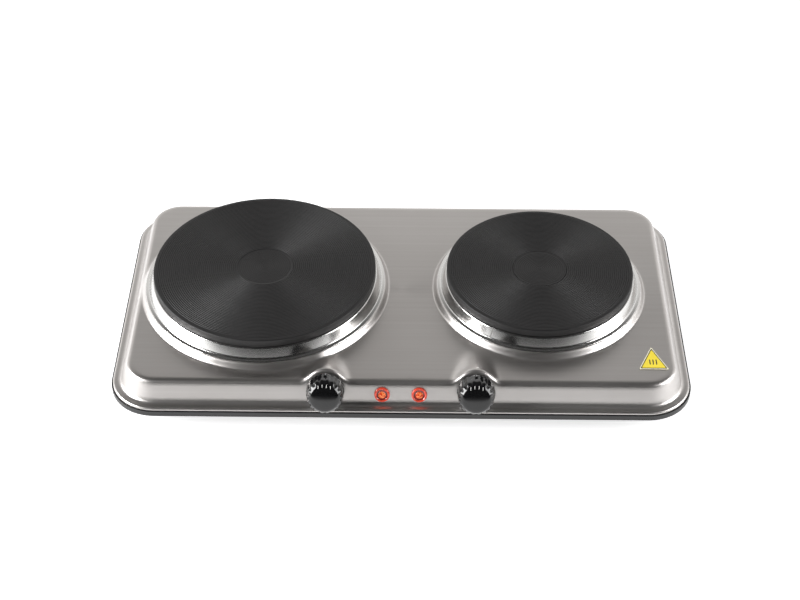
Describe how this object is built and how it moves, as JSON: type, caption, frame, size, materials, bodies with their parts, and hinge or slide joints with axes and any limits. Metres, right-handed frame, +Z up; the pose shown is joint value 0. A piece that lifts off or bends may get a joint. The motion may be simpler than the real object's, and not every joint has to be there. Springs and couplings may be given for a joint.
{
  "type": "double electric hot plate",
  "caption": "Table-top electric cooker: a wide, low steel body with a large and a small round cast-iron plate, knobs and red indicator lamps along the front.",
  "frame": {"origin": "middle of the overall box, at the height of the surface that the feet stand on", "axes": "+X from the large plate to the small one, +Y from the knobs to the back, +Z up"},
  "size_m": [0.468, 0.2638, 0.0659],
  "materials": {
    "brushed_steel": "brushed left to right, satin, clear pressed folds",
    "bright_steel": "polished, spun, faint turning lines",
    "zinc_steel": "zinc plated, dull",
    "cast_iron": "fine concentric turned grooves, black heat-resistant coating",
    "ceramic": "unglazed, matte",
    "black_enamel": "black, semi-gloss",
    "gloss_black": "high gloss moulding",
    "dark_moulding": "matte moulding",
    "red_lens": "clear-looking red moulding, glossy",
    "rubber": "matte",
    "label_yellow": "printed film with a dark border",
    "wire_sleeve": "woven glass-fibre sleeve, matte"
  },
  "bodies": {
    "housing": {"base_pan": "black_enamel", "caution_label": "label_yellow", "clamp_bar_large": "zinc_steel", "clamp_bar_small": "zinc_steel", "clamp_nut_large": "zinc_steel", "clamp_nut_small": "zinc_steel", "cord_gland": "dark_moulding", "earth_screw": "zinc_steel", "foot_back_left": "rubber", "foot_back_right": "rubber", "foot_front_left": "rubber", "foot_front_right": "rubber", "foot_screw_back_left": "zinc_steel", "foot_screw_back_right": "zinc_steel", "foot_screw_front_left": "zinc_steel", "foot_screw_front_right": "zinc_steel", "heat_shield_large": "zinc_steel", "heat_shield_small": "zinc_steel", "heating_bed_large": "ceramic", "heating_bed_small": "ceramic", "hot_plate_large": "cast_iron", "hot_plate_small": "cast_iron", "lamp_clip_left": "zinc_steel", "lamp_clip_right": "zinc_steel", "lamp_holder_left": "dark_moulding", "lamp_holder_right": "dark_moulding", "lamp_lens_left": "red_lens", "lamp_lens_right": "red_lens", "plate_stud_large": "zinc_steel", "plate_stud_small": "zinc_steel", "regulator_left": "dark_moulding", "regulator_plate_left": "zinc_steel", "regulator_plate_right": "zinc_steel", "regulator_right": "dark_moulding", "regulator_screw_left_1": "zinc_steel", "regulator_screw_left_2": "zinc_steel", "regulator_screw_right_1": "zinc_steel", "regulator_screw_right_2": "zinc_steel", "side_bracket_left": "zinc_steel", "side_bracket_right": "zinc_steel", "spill_ring_large": "bright_steel", "spill_ring_small": "bright_steel", "terminal_block_large": "ceramic", "terminal_block_small": "ceramic", "terminal_strip": "ceramic", "top_pan": "brushed_steel", "wire_earth": "wire_sleeve", "wire_feed_left": "wire_sleeve", "wire_feed_right": "wire_sleeve", "wire_lamp_left": "wire_sleeve", "wire_lamp_right": "wire_sleeve", "wire_plate_left": "wire_sleeve", "wire_plate_right": "wire_sleeve", "wire_return_left": "wire_sleeve", "wire_return_right": "wire_sleeve"},
    "left_control": {"knob_left": "gloss_black", "regulator_shaft_left": "zinc_steel"},
    "right_control": {"knob_right": "gloss_black", "regulator_shaft_right": "zinc_steel"}
  },
  "joints": [
    {"name": "left_knob_turn", "type": "hinge", "parent": "housing", "child": "left_control", "pos_m": [-0.0595, -0.10939, 0.03826], "axis": [0, -0.9397, 0.342], "range_deg": [-270, 0]},
    {"name": "right_knob_turn", "type": "hinge", "parent": "housing", "child": "right_control", "pos_m": [0.0595, -0.10939, 0.03826], "axis": [0, -0.9397, 0.342], "range_deg": [-270, 0]}
  ]
}
